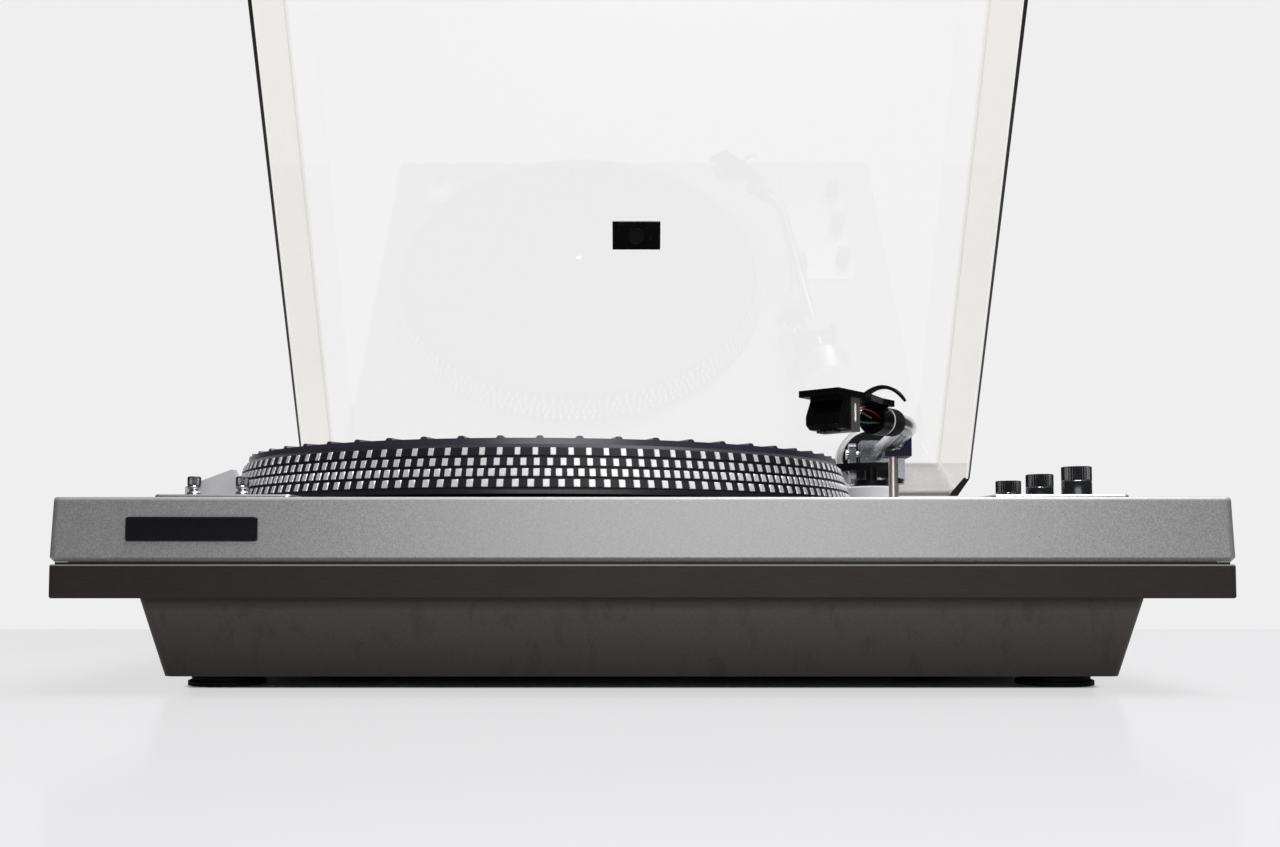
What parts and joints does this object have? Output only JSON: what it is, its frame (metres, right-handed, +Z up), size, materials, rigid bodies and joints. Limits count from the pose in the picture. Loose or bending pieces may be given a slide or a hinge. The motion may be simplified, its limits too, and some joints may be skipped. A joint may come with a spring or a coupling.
{
  "type": "turntable record player",
  "caption": "Turntable record player: silver deck on a dark tapered base, dotted platter with a ribbed mat, bent-tube arm with a cue lift, side control panels and a hinged clear lid.",
  "frame": {"origin": "on the floor, under the centre of the bounding box with the lid open as stored", "axes": "+X to the right seen from the front, +Y to the back, +Z up"},
  "size_m": [0.44, 0.4126, 0.4238],
  "materials": {
    "silver_cover": "fine metallic silver paint on a moulding",
    "dark_board": "dark taupe laminate",
    "dark_base": "dark grained moulding",
    "black_rubber": "matte",
    "black_platter": "satin black with bright dots",
    "chrome": "polished",
    "steel": "machined",
    "aluminium": "satin",
    "black_gloss": "gloss",
    "black_matte": "satin",
    "panel_silver": "brushed",
    "pod_grey": "satin grey",
    "lens_dark": "dark tinted window",
    "clear_acrylic": "clear, polished",
    "copper": "enamelled copper wire",
    "iron_core": "laminated",
    "board_green": "circuit board",
    "lead_red": "thin insulated leads",
    "saddle_blue_black": "satin"
  },
  "bodies": {
    "chassis": {"feet": "black_rubber", "foot_screws": "steel", "base_tub": "dark_base", "bottom_cover": "dark_board", "plinth_slab": "dark_board", "isolators": "black_rubber", "top_cover": "silver_cover", "cover_bolts": "steel", "name_plate": "black_gloss", "left_panel": "panel_silver", "strobe_pod": "pod_grey", "strobe_lens": "lens_dark", "right_panel": "panel_silver", "motor_housing": "steel", "bearing_sleeve": "copper", "motor_core": "iron_core", "motor_coils": "copper", "deck_screws": "steel", "rotary_switches": "black_matte", "pitch_pots": "steel", "transformer_core": "iron_core", "transformer_coil": "copper", "control_board": "board_green", "cord_glands": "black_rubber", "arm_base": "aluminium", "lift_pedestal": "aluminium", "lift_collar": "black_gloss", "rest_post": "chrome", "rest_saddle": "saddle_blue_black", "hinge_brackets": "black_matte", "hinge_pins": "steel"},
    "platter_set": {"platter": "black_platter", "mat": "black_rubber", "spindle": "chrome", "rotor_cup": "steel", "rotor_magnet": "iron_core"},
    "arm_yoke": {"gimbal_yoke": "black_gloss", "pivot_screws": "chrome"},
    "arm": {"arm_tube": "chrome", "bearing_block": "black_gloss", "weight_stub": "steel", "headshell": "black_matte", "cartridge_body": "black_gloss", "cartridge_bracket": "chrome", "stylus": "steel", "headshell_leads": "lead_red"},
    "collar": {"lock_collar": "black_matte"},
    "weight": {"counterweight": "aluminium"},
    "dial": {"force_dial": "aluminium"},
    "cue_lift": {"lift_bar": "black_matte"},
    "start_control": {"start_knob": "black_gloss"},
    "speed_control": {"speed_knob": "black_gloss"},
    "cue_control": {"cue_knob": "black_gloss"},
    "pitch_left": {"pitch_knob_left": "chrome"},
    "pitch_right": {"pitch_knob_right": "chrome"},
    "dust_lid": {"lid": "clear_acrylic", "lid_pad": "black_rubber", "lid_bumpers": "black_rubber", "hinge_leaves": "black_matte"}
  },
  "joints": [
    {"name": "platter_spin", "type": "hinge", "parent": "chassis", "child": "platter_set", "pos_m": [-0.047, -0.02813, 0.074], "axis": [0, 0, 1], "continuous": true},
    {"name": "arm_swing", "type": "hinge", "parent": "chassis", "child": "arm_yoke", "pos_m": [0.1405, 0.06287, 0.1127], "axis": [0, 0, -1], "range_deg": [0, 37]},
    {"name": "cue_turn", "type": "hinge", "parent": "chassis", "child": "cue_control", "pos_m": [0.1796, -0.06153, 0.076], "axis": [0, 0, -1], "range_deg": [-11.05, 90.05]},
    {"name": "lift_rise", "type": "slide", "parent": "chassis", "child": "cue_lift", "axis": [0, 0, 1], "range_m": [-0.00061, 0.005]},
    {"name": "arm_tilt", "type": "hinge", "parent": "arm_yoke", "child": "arm", "pos_m": [0.1405, 0.06287, 0.1127], "axis": [-0.9951, 0.0993, 0], "range_deg": [-0.62, 5.01]},
    {"name": "start_turn", "type": "hinge", "parent": "chassis", "child": "start_control", "pos_m": [0.1796, -0.15313, 0.076], "axis": [0, 0, -1], "range_deg": [0, 60]},
    {"name": "speed_turn", "type": "hinge", "parent": "chassis", "child": "speed_control", "pos_m": [0.1796, -0.10733, 0.076], "axis": [0, 0, -1], "range_deg": [0, 60]},
    {"name": "pitch_left_turn", "type": "hinge", "parent": "chassis", "child": "pitch_left", "pos_m": [-0.1779, -0.17113, 0.076], "axis": [0, 0, -1], "range_deg": [-135, 135]},
    {"name": "pitch_right_turn", "type": "hinge", "parent": "chassis", "child": "pitch_right", "pos_m": [-0.1587, -0.17113, 0.076], "axis": [0, 0, -1], "range_deg": [-135, 135]},
    {"name": "weight_slide", "type": "slide", "parent": "arm", "child": "weight", "axis": [0.0993, 0.9951, 0], "range_m": [-0.005, 0.005]},
    {"name": "dial_turn", "type": "hinge", "parent": "weight", "child": "dial", "pos_m": [0.1405, 0.06287, 0.1127], "axis": [0.0993, 0.9951, 0], "continuous": true},
    {"name": "collar_turn", "type": "hinge", "parent": "arm", "child": "collar", "pos_m": [0.07662, -0.14938, 0.1127], "axis": [0.6441, 0.7649, 0], "range_deg": [0, 90]},
    {"name": "lid_open", "type": "hinge", "parent": "chassis", "child": "dust_lid", "pos_m": [0, 0.15047, 0.0813], "axis": [-1, 0, 0], "range_deg": [-63, 0]}
  ],
  "couplings": [
    {"joint": "cue_turn", "follows": "lift_rise", "rad_per_m": 314.16},
    {"joint": "arm_tilt", "follows": "lift_rise", "rad_per_m": 17.453}
  ]
}
